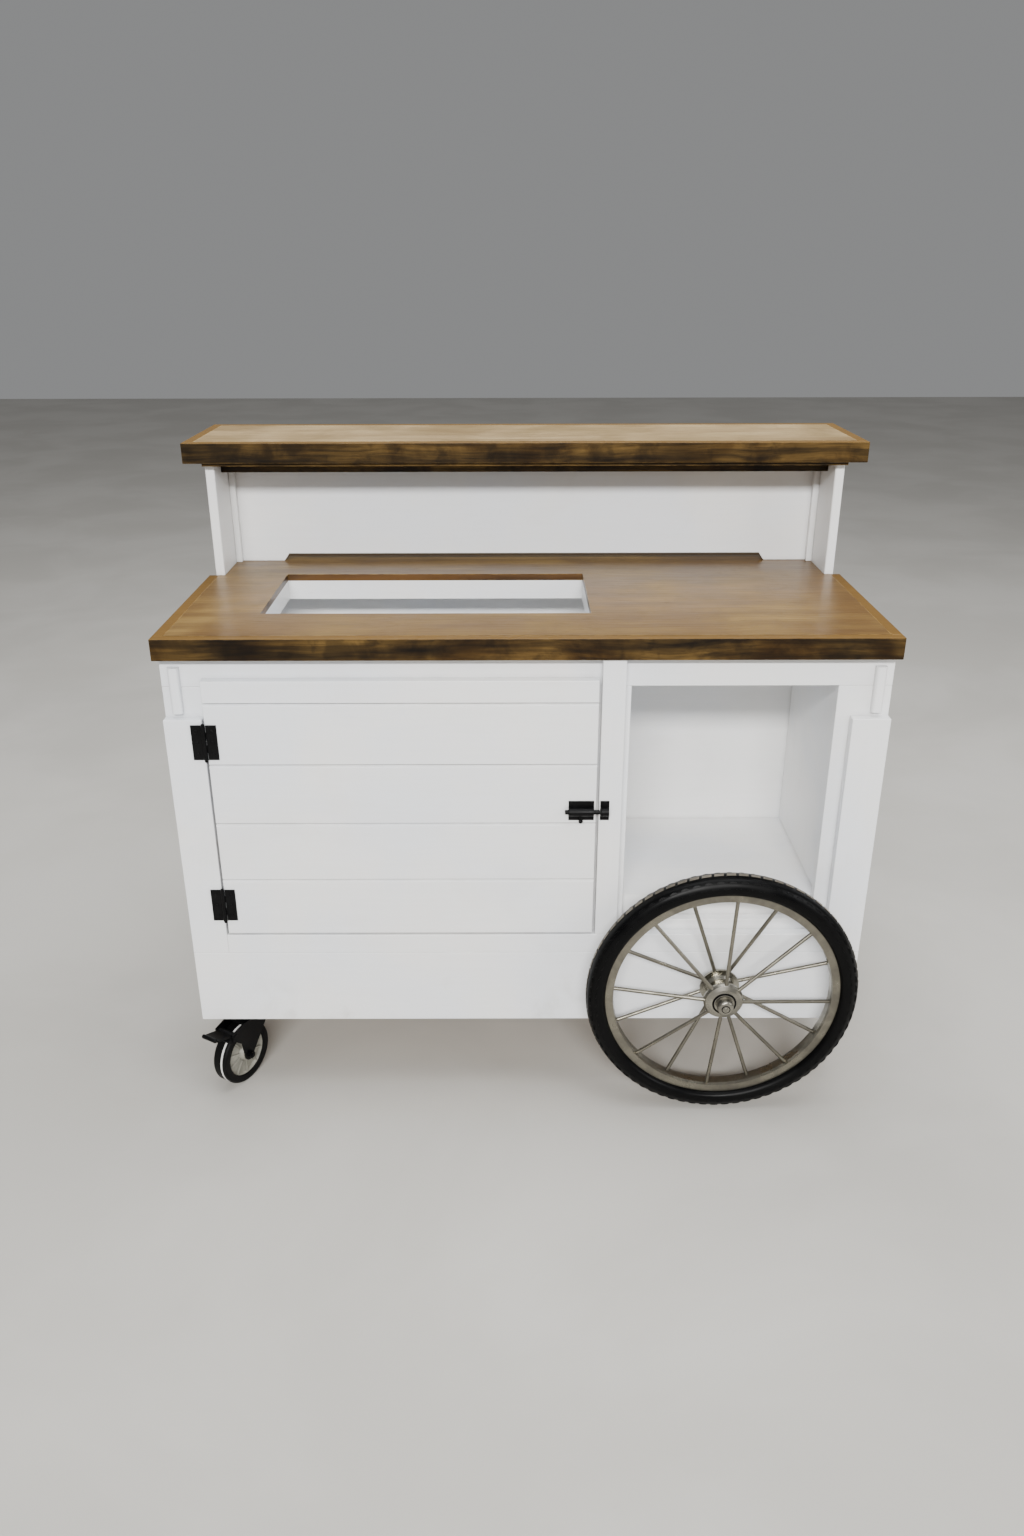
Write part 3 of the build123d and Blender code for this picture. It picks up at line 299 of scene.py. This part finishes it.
def bare_timber_finish(name):
    """Unfinished sheet timber, as on the bottom deck and the axle blocks."""
    material, tree, shader, where = new_material(name, Roughness=0.7)
    grain = place_group(tree, grain_group, {"Vector": where}, {"Size": 1.0})
    crevice = place_group(tree, crevice_group, {"Vector": where}, {"Reach": 0.02})
    colour = mix(tree, grain["Figure"], (0.60, 0.44, 0.27), (0.46, 0.31, 0.18))
    colour = mix(tree, maths(tree, "MULTIPLY", grain["Streaks"], 0.5), colour, (0.36, 0.23, 0.12))
    # painted shade and dust: darker in corners and crevices
    colour = mix(tree, maths(tree, "MULTIPLY", crevice["Mask"], 0.5), colour, (0.12, 0.09, 0.06))
    tree.links.new(colour, shader.inputs["Base Color"])
    set_bump(tree, shader, (grain["Streaks"], 0.3, 0.0006))
    return material


def metal_finish(name, colour, tint, metallic, gloss, wear_colour, wear_amount,
                 orange_peel=0.06, shine=0.5):
    """Plated, painted or powder-coated steel with smudges, painted shade and dust in crevices, and rubbed
    edges.
    """
    material, tree, shader, where = new_material(name, Specular_IOR_Level=shine)
    patches = place_group(tree, blotch_group, {"Vector": where}, {"Size": 22.0})
    fine = place_group(tree, blotch_group, {"Vector": where}, {"Size": 70.0, "Low": 0.5, "High": 0.75})
    crevice = place_group(tree, crevice_group, {"Vector": where}, {"Reach": 0.006})
    wear = place_group(tree, wear_group, {"Vector": where}, {"Reach": 0.0007, "Amount": wear_amount})
    base = mix(tree, patches["Patches"], colour, tint)
    base = mix(tree, maths(tree, "MULTIPLY", fine["Patches"], 0.4 * wear_amount), base, wear_colour)
    # painted shade and dust: a darker copy of the colour in crevices
    base = mix(tree, maths(tree, "MULTIPLY", crevice["Mask"], 0.55), base,
               tuple(0.35 * channel for channel in colour))
    base = mix(tree, wear["Mask"], base, wear_colour)
    tree.links.new(base, shader.inputs["Base Color"])
    shader.inputs["Metallic"].default_value = metallic
    rough = maths(tree, "MULTIPLY_ADD", patches["Patches"], 0.14, gloss)
    rough = maths(tree, "MULTIPLY_ADD", crevice["Mask"], 0.2, rough)
    tree.links.new(rough, shader.inputs["Roughness"])
    peel = add(tree, "TexNoise", {"Vector": where}, {"Scale": 900.0, "Detail": 2.0}).outputs["Fac"]
    set_bump(tree, shader, (peel, orange_peel, 0.0003))
    return material


CROWN_WEAR = 0.0012  # metres that the worn crown of the tyre is lower than the tyre's outline


def rubber_finish(name, colour, dust, gloss=0.52, tread=None):
    """Black rubber with a dusty bloom and fine moulding marks.
    tread is (centre x, centre z, radius, colour): beyond that radius the rubber is worn and dusty."""
    material, tree, shader, where = new_material(name, Specular_IOR_Level=0.10)
    patches = place_group(tree, blotch_group, {"Vector": where}, {"Size": 12.0})
    fine = place_group(tree, blotch_group, {"Vector": where}, {"Size": 40.0, "Low": 0.45, "High": 0.75})
    crevice = place_group(tree, crevice_group, {"Vector": where}, {"Reach": 0.005})
    wear = place_group(tree, wear_group, {"Vector": where}, {"Reach": 0.0012, "Amount": 0.5})
    base = mix(tree, maths(tree, "MULTIPLY", patches["Patches"], 0.35), colour, dust)
    base = mix(tree, maths(tree, "MULTIPLY", fine["Patches"], 0.25), base, dust)
    base = mix(tree, maths(tree, "MULTIPLY", crevice["Mask"], 0.5), base, dust)
    base = mix(tree, maths(tree, "MULTIPLY", fine["Specks"], 0.5), base, tuple(3 * channel for channel in dust))
    base = mix(tree, wear["Mask"], base, dust)
    if tread:
        split = add(tree, "SeparateXYZ", {0: where})
        flat = add(tree, "CombineXYZ", {0: maths(tree, "SUBTRACT", split.outputs[0], tread[0]),
                                        1: maths(tree, "SUBTRACT", split.outputs[2], tread[1])})
        reach = add(tree, "VectorMath", {0: flat.outputs[0]}, operation="LENGTH").outputs["Value"]
        worn = add(tree, "MapRange", {"Value": reach},
                   {"From Min": tread[2], "From Max": tread[2] + CROWN_WEAR}).outputs[0]
        smudge = maths(tree, "MULTIPLY_ADD", patches["Patches"], 0.5, 0.45)
        base = mix(tree, maths(tree, "MULTIPLY", worn, smudge), base, tread[3])
    tree.links.new(base, shader.inputs["Base Color"])
    rough = maths(tree, "MULTIPLY_ADD", patches["Patches"], 0.16, gloss)
    tree.links.new(rough, shader.inputs["Roughness"])
    skin = add(tree, "TexNoise", {"Vector": where}, {"Scale": 600.0, "Detail": 3.0}).outputs["Fac"]
    set_bump(tree, shader, (skin, 0.12, 0.0004))
    return material


paint_x = paint_finish("white paint, boards along the cart", "X")
paint_z = paint_finish("white paint, upright boards", "Z")
top_stain = stain_finish("walnut stain, counter", (0.068, 0.030, 0.004), (0.135, 0.070, 0.012),
                         (0.225, 0.138, 0.034), 0.50, 0.34)
shelf_stain = stain_finish("walnut stain, shelf", (0.13, 0.072, 0.020), (0.25, 0.170, 0.068),
                           (0.38, 0.28, 0.145), 0.42, 0.34)
edge_stain = stain_finish("dark stain, edges along the cart", (0.002, 0.001, 0.0004),
                          (0.040, 0.019, 0.004), (0.150, 0.088, 0.024), 0.95, 0.40, 9.0,
                          (0.14, 0.075, 0.016), 0.10)
bare_timber = bare_timber_finish("bare sheet timber")
black_steel = metal_finish("black powder coat", (0.0015, 0.0015, 0.0018), (0.003, 0.003, 0.0033),
                           0.0, 0.34, (0.03, 0.029, 0.028), 0.16, 0.14, 0.12)
zinc_steel = metal_finish("zinc plate", (0.33, 0.315, 0.265), (0.20, 0.19, 0.165), 1.0, 0.22,
                          (0.50, 0.48, 0.43), 0.4)
rim_steel = metal_finish("satin rim metal", (0.22, 0.205, 0.165), (0.15, 0.14, 0.115), 0.95,
                         0.26, (0.36, 0.34, 0.29), 0.4)
# painted highlight: a pale colour for the ring that stands in for the glint on the caster tread
painted_tread_glint = metal_finish("painted tread glint", (0.78, 0.78, 0.76), (0.66, 0.66, 0.64), 0.0,
                             0.40, (0.50, 0.49, 0.46), 0.4)
bearing_steel = metal_finish("bearing steel", (0.40, 0.40, 0.40), (0.30, 0.30, 0.30), 1.0, 0.25,
                             (0.6, 0.6, 0.6), 0.4)
rim_low, rim_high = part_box("front_wheel_rim")
wheel_x, wheel_z = (rim_low[0] + rim_high[0]) / 2, (rim_low[2] + rim_high[2]) / 2
tyre_low, tyre_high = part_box("front_wheel_tyre")
tyre_radius = (tyre_high[2] - tyre_low[2]) / 2
tyre_rubber = rubber_finish("tyre rubber", (0.0008, 0.0008, 0.0010), (0.002, 0.002, 0.002), 0.30,
                            (wheel_x, wheel_z, tyre_radius - CROWN_WEAR, (0.24, 0.215, 0.175)))
caster_rubber = rubber_finish("caster rubber", (0.0015, 0.0015, 0.0018),
                              (0.006, 0.0055, 0.005), 0.36)
caster_plastic = metal_finish("caster core plastic", (0.27, 0.26, 0.22), (0.19, 0.185, 0.155),
                              0.0, 0.42, (0.30, 0.28, 0.25), 0.5)

finishes = {
    paint_x: ["back_panel", "cabinet_floor", "face_frame", "base_boards", "lower_rail_trim",
              "bay_floor", "bay_back_wall", "back_cladding", "riser_back_panel", "door_boards",
              "door_battens", "counter_underlay", "sub_top"],
    paint_z: ["left_side_panel", "right_side_panel", "divider_panel", "corner_posts", "corner_boards",
              "centre_stile_trim", "corner_blocks", "bay_side_wall", "riser_side_panels",
              "riser_corner_cleats"],
    top_stain: ["countertop"],
    shelf_stain: ["shelf_board"],
    edge_stain: ["counter_nosings", "shelf_nosings", "shelf_cleat", "shelf_subboard"],
    bare_timber: ["bottom_deck", "axle_blocks"],
    black_steel: ["hinge_frame_halves", "hinge_door_halves", "bolt_keeper", "bolt_housing",
                  "bolt_rod", "frame_screws", "door_screws", "caster_plates"],
    zinc_steel: ["axle", "axle_fittings", "caster_screws"],
}
for end in ("front", "back"):
    finishes[black_steel] += [f"{end}_caster_fork", f"{end}_caster_brake_pedal"]
    finishes[zinc_steel] += [f"{end}_wheel_hub"]
    finishes.setdefault(rim_steel, []).extend([f"{end}_wheel_rim", f"{end}_wheel_spokes"])
    finishes.setdefault(bearing_steel, []).append(f"{end}_wheel_bearings")
    finishes.setdefault(tyre_rubber, []).append(f"{end}_wheel_tyre")
    finishes.setdefault(caster_rubber, []).append(f"{end}_caster_wheel_tyre")
    finishes.setdefault(caster_plastic, []).append(f"{end}_caster_wheel_core")
for material, names in finishes.items():
    for name in names:
        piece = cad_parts[name]
        piece.data.materials.clear()
        piece.data.materials.append(material)


# ---------------------------------------------------------------- new pieces
SMOOTH_BELOW = radians(35)  # edges that turn more than this stay sharp


def finish_piece(mesh, name, material, body):
    """A finished mesh as an object that moves with a body."""
    bmesh.ops.recalc_face_normals(mesh, faces=mesh.faces)
    for face in mesh.faces:
        face.smooth = True
    data = bpy.data.meshes.new(name)
    mesh.to_mesh(data)
    mesh.free()
    data.set_sharp_from_angle(angle=SMOOTH_BELOW)
    piece = bpy.data.objects.new(name, data)
    bpy.context.collection.objects.link(piece)
    data.materials.append(material)
    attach(piece, body)
    return piece


def spin_profile(mesh, points, centre, steps):
    """A closed profile spun once about Y. points are (offset along Y, radius), in metres."""
    verts = [mesh.verts.new(Vector(centre) + AXIS_Y * offset + AXIS_Z * radius)
             for offset, radius in points]
    edges = [mesh.edges.new(pair) for pair in zip(verts, verts[1:] + verts[:1])]
    bmesh.ops.spin(mesh, geom=verts + edges, cent=centre, axis=AXIS_Y, angle=2 * pi, steps=steps,
                   use_merge=True)


def spun_piece(name, points, centre, steps, material, body):
    """A profile spun about Y through centre, as a finished piece."""
    mesh = bmesh.new()
    spin_profile(mesh, points, centre, steps)
    finish_piece(mesh, name, material, body)


def moved_points(geom):
    """The vertices among the geometry that an operator returned."""
    return [item for item in geom if isinstance(item, bmesh.types.BMVert)]


def raised_pad(mesh, outline, normal, height, shrink):
    """A flat outline pushed out into a low pad with a smaller top. Returns its geometry."""
    verts = [mesh.verts.new(point) for point in outline]
    face = mesh.faces.new(verts)
    middle = sum((vert.co for vert in verts), Vector()) / len(verts)
    grown = bmesh.ops.extrude_face_region(mesh, geom=[face])["geom"]
    tops = moved_points(grown)
    for vert in tops:
        vert.co = middle + (vert.co - middle) * shrink + normal * height
    sides = {face for vert in verts + tops for face in vert.link_faces}
    return list({edge for face in sides for edge in face.edges}) + verts + tops + list(sides)


def copy_round(mesh, geom, centre, count):
    """The same pad repeated all round the Y axis through centre."""
    bmesh.ops.spin(mesh, geom=geom, cent=centre, axis=AXIS_Y,
                   angle=2 * pi * (count - 1) / count, steps=count - 1, use_duplicate=True)


def crescent(anchor, along, outward, length, rise, thick, points=6):
    """The outline of a curved lug: an outer arc, then the inner arc back."""
    outer, inner = [], []
    for i in range(points + 1):
        t = -1.2 + 2.4 * i / points
        outer.append(anchor + along * (length * sin(t)) + outward * (rise * cos(t)))
        inner.append(anchor + along * (length * 0.94 * sin(t))
                     + outward * (rise * cos(t) - thick * cos(t * 1.15)))
    return outer + inner[::-1]


TREAD_PITCHES = 72  # lugs in a row, and blocks round the crown
SHOULDER_LUGS = (   # depth below the crown, length, rise, thickness, height, share of a pitch turned
    (0.0098, 0.0086, 0.0052, 0.0034, 0.0015, 0.0),
    (0.0158, 0.0070, -0.0030, -0.0022, 0.0011, 0.5))


def make_big_tyre(end):
    """A pneumatic tyre with a worn crown, tread blocks and two rows of lugs on each side."""
    low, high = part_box(f"{end}_wheel_tyre")
    middle_y = (low[1] + high[1]) / 2
    half = (high[1] - low[1]) / 2
    centre = Vector((wheel_x, middle_y, wheel_z))
    radius = tyre_radius
    rim_half = (rim_high[1] - rim_low[1]) / 2
    seat = (rim_high[2] - rim_low[2]) / 2

    def wall(depth):
        """The round at a depth below the crown: its offset, radius, slope across and slope out."""
        rise = half - depth
        reach = (half * half - rise * rise) ** 0.5
        return reach, radius - depth, reach / half, rise / half

    outline = [(0.0, radius - CROWN_WEAR), (0.0045, radius - 0.0016)]
    outline += [wall(depth)[:2] for depth in (0.0030, 0.0055, 0.0085, 0.0125, 0.0175, 0.0235)]
    outline += [(half - 0.0008, radius - 0.0285), (half - 0.0038, radius - 0.0325),
                (half - 0.0075, seat + 0.0006), (rim_half + 0.0004, seat + 0.0001),
                (rim_half - 0.0034, seat - 0.0006), (rim_half - 0.0034, seat - 0.0100)]
    profile = outline + [(-offset, r) for offset, r in reversed(outline[1:])]
    mesh = bmesh.new()
    spin_profile(mesh, profile, centre, 160)
    for side in (-1, 1):
        for depth, length, rise, thick, height, turn in SHOULDER_LUGS:
            offset, r, across, out = wall(depth)
            normal = Vector((0, side * across, out))
            upward = Vector((0, -side * out, across))
            anchor = centre + Vector((0, side * offset, r)) - normal * 0.0006
            points = crescent(anchor, AXIS_X, upward, length, rise, thick)
            geom = raised_pad(mesh, points, normal, height, 0.84)
            if turn:
                step = Matrix.Rotation(2 * pi * turn / TREAD_PITCHES, 3, "Y")
                bmesh.ops.rotate(mesh, verts=moved_points(geom), cent=centre, matrix=step)
            copy_round(mesh, geom, centre, TREAD_PITCHES)
    points = [centre + Vector((x, y, radius - 0.0016)) for x, y in
              ((-0.0096, -0.0042), (0.0080, -0.0042), (0.0096, 0.0042), (-0.0080, 0.0042))]
    copy_round(mesh, raised_pad(mesh, points, AXIS_Z, 0.0013, 0.9), centre, TREAD_PITCHES)
    piece = finish_piece(mesh, f"{end}_tyre_with_tread", tyre_rubber, f"{end}_wheel")
    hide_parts(f"{end}_wheel_tyre")


# A caster's own coordinates: X trails from its swivel axis, and the origin is on the floor.
SWIVEL = {"front": (-0.541, -0.222, 240.0), "back": (-0.541, 0.222, 120.0)}  # x, y and heading
CASTER_AXLE = Vector((0.038, 0.0, 0.0625))
CASTER_RIBS = 10
GLINT_OFFSET = 0.006                # painted highlight: a pale ring standing in for the glint on the tread, to the side of the wheel's middle
GLINT_RADIUS = 0.0627               # 0.2 mm proud of the tyre, and 0.2 mm short of the locked bar
PEDAL_PIVOT = Vector((0.070, 0.0, 0.1245))
PEDAL_SLOPE = radians(17.5)
PEDAL_HALF_WIDTH = 0.0165
LIP_REACH, LIP_RISE, LIP_RADIUS = 0.0475, 0.0015, 0.0042


def make_caster_details(end):
    """Ribs and a pale ring of painted highlight on the caster wheel's tread, and a rolled lip on the pedal."""
    x, y, heading = SWIVEL[end]
    place = Matrix.Translation((x, y, 0)) @ Matrix.Rotation(radians(heading), 4, "Z")

    ribs = bmesh.new()
    for side in (-1, 1):
        points = [CASTER_AXLE + Vector((across, side * 0.0066, rise)) for across, rise in
                  ((-0.0014, 0.0165), (0.0014, 0.0165), (0.0014, 0.0475), (-0.0014, 0.0475))]
        pad = raised_pad(ribs, points, AXIS_Y * side, 0.0046, 0.94)
        copy_round(ribs, pad, CASTER_AXLE, CASTER_RIBS)
    ribs.transform(place)
    finish_piece(ribs, f"{end}_caster_ribs", caster_plastic, f"{end}_caster_wheel")

    bead = bmesh.new()
    for side in (-1, 1):
        points = ((0.0125, 0.0465), (0.0140, 0.0462), (0.0152, 0.0475),
                  (0.0158, 0.0520), (0.0158, 0.0570), (0.0125, 0.0570))
        spin_profile(bead, [(side * offset, radius) for offset, radius in points], CASTER_AXLE, 80)
    bead.transform(place)
    finish_piece(bead, f"{end}_caster_bead", caster_rubber, f"{end}_caster_wheel")

    # painted highlight: a pale ring on the tread where the glossy rubber would show a glint
    glint_ring = bmesh.new()
    points = [(-0.0024, 0.0610), (-0.0020, GLINT_RADIUS), (0.0020, GLINT_RADIUS), (0.0024, 0.0610)]
    spin_profile(glint_ring, points, CASTER_AXLE + AXIS_Y * GLINT_OFFSET, 96)
    glint_ring.transform(place)
    finish_piece(glint_ring, f"{end}_caster_glint_ring", painted_tread_glint, f"{end}_caster_wheel")

    lip = bmesh.new()
    outward = Vector((cos(PEDAL_SLOPE), 0, sin(PEDAL_SLOPE)))
    above = Vector((-sin(PEDAL_SLOPE), 0, cos(PEDAL_SLOPE)))
    start = PEDAL_PIVOT + outward * LIP_REACH
    section = [start + outward * (LIP_RADIUS * cos(radians(angle)))
               + above * (LIP_RISE + LIP_RADIUS * sin(radians(angle)))
               for angle in range(0, 360, 30)]
    verts = [lip.verts.new(point - AXIS_Y * PEDAL_HALF_WIDTH) for point in section]
    base = lip.faces.new(verts)
    grown = bmesh.ops.extrude_face_region(lip, geom=[base])["geom"]
    bmesh.ops.translate(lip, vec=AXIS_Y * (2 * PEDAL_HALF_WIDTH), verts=moved_points(grown))
    ends = [edge for face in lip.faces if len(face.verts) > 4 for edge in face.edges]
    bmesh.ops.bevel(lip, geom=ends, offset=0.0012, segments=2, affect="EDGES", profile=0.5,
                    material=-1)
    lip.transform(place)
    finish_piece(lip, f"{end}_pedal_lip", black_steel, f"{end}_caster_brake")


def make_hub_details(end):
    """A dark ring where hub and washer meet, part seal and part painted shade in that gap, and on the axle cap
    a black ring of painted shade round a centre button.
    """
    side = -1 if end == "front" else 1
    hub_low, hub_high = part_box(f"{end}_wheel_hub")
    hub_face = max(abs(hub_low[1]), abs(hub_high[1]))
    centre = Vector((wheel_x, 0, wheel_z))
    # part seal, part painted shade: a dark rubber ring for the shadowed gap between hub and washer
    spun_piece(f"{end}_hub_seal_and_shade",
               [(side * (hub_face - 0.0012), 0.0182), (side * (hub_face + 0.0006), 0.0190),
                (side * (hub_face + 0.0006), 0.0212), (side * (hub_face - 0.0018), 0.0222)],
               centre, 64, tyre_rubber, f"{end}_wheel")
    axle_low, axle_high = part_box("axle")
    tip = side * max(abs(axle_low[1]), abs(axle_high[1]))
    # painted shade: a black ring for the shadowed chamfer round the axle end
    ring = ((-0.0030, 0.0082), (-0.0001, 0.0079), (0.0004, 0.0070), (0.0001, 0.0062),
            (-0.0030, 0.0062))
    spun_piece(f"{end}_cap_shade_ring", [(tip + side * out, radius) for out, radius in ring], centre, 48,
               black_steel, "cabinet")
    button = ((-0.0008, 0.0004), (0.0016, 0.0004), (0.0013, 0.0024), (0.0004, 0.0040),
              (-0.0008, 0.0043))
    spun_piece(f"{end}_cap_button", [(tip + side * out, radius) for out, radius in button], centre,
               40, zinc_steel, "cabinet")


for end in ("front", "back"):
    make_big_tyre(end)
    make_caster_details(end)
    make_hub_details(end)


# ---------------------------------------------------------------- floor, light and camera
def make_floor():
    """A plain pale floor, which is not part of the cart."""
    mesh = bmesh.new()
    bmesh.ops.create_grid(mesh, x_segments=1, y_segments=1, size=12.0)
    data = bpy.data.meshes.new("floor")
    mesh.to_mesh(data)
    mesh.free()
    floor = bpy.data.objects.new("floor", data)
    bpy.context.collection.objects.link(floor)
    material, tree, shader, where = new_material("pale floor", Roughness=0.65)
    patches = place_group(tree, blotch_group, {"Vector": where}, {"Size": 1.4})
    colour = mix(tree, patches["Patches"], (0.40, 0.385, 0.355), (0.45, 0.435, 0.405))
    tree.links.new(colour, shader.inputs["Base Color"])
    data.materials.append(material)


def make_light(name, place, aim, size, power, colour=(1, 1, 1)):
    """A rectangular area light that faces the point aim."""
    lamp = bpy.data.lights.new(name, "AREA")
    lamp.shape = "RECTANGLE"
    lamp.size, lamp.size_y = size
    lamp.energy = power
    lamp.color = colour
    light = bpy.data.objects.new(name, lamp)
    bpy.context.collection.objects.link(light)
    direction = Vector(aim) - Vector(place)
    turn = direction.to_track_quat("-Z", "Y").to_matrix().to_4x4()
    light.matrix_world = Matrix.Translation(place) @ turn


make_floor()
make_light("key", (-0.4, -7.8, 5.2), (0, 0, 0.6), (5.0, 0.9), 1150, (1.0, 0.99, 0.97))
make_light("overhead", (0.2, 0.3, 4.2), (0, 0, 0.8), (4.2, 3.4), 260, (0.98, 0.99, 1.0))
make_light("fill", (4.5, -2.4, 2.6), (0, 0, 0.6), (2.2, 2.0), 90)
world = bpy.data.worlds.new("studio")
world.use_nodes = True
background = world.node_tree.nodes["Background"]
background.inputs["Color"].default_value = (0.93, 0.94, 0.95, 1)
background.inputs["Strength"].default_value = 0.28
bpy.context.scene.world = world

lens = bpy.data.cameras.new("camera")
lens.sensor_width = 36.0
lens.lens = 26.87
camera = bpy.data.objects.new("camera", lens)
bpy.context.collection.objects.link(camera)
camera.location = (-0.0259, -2.0953, 1.4849)
camera.rotation_euler = (radians(66.094), radians(0.11), radians(-0.05))
bpy.context.scene.camera = camera
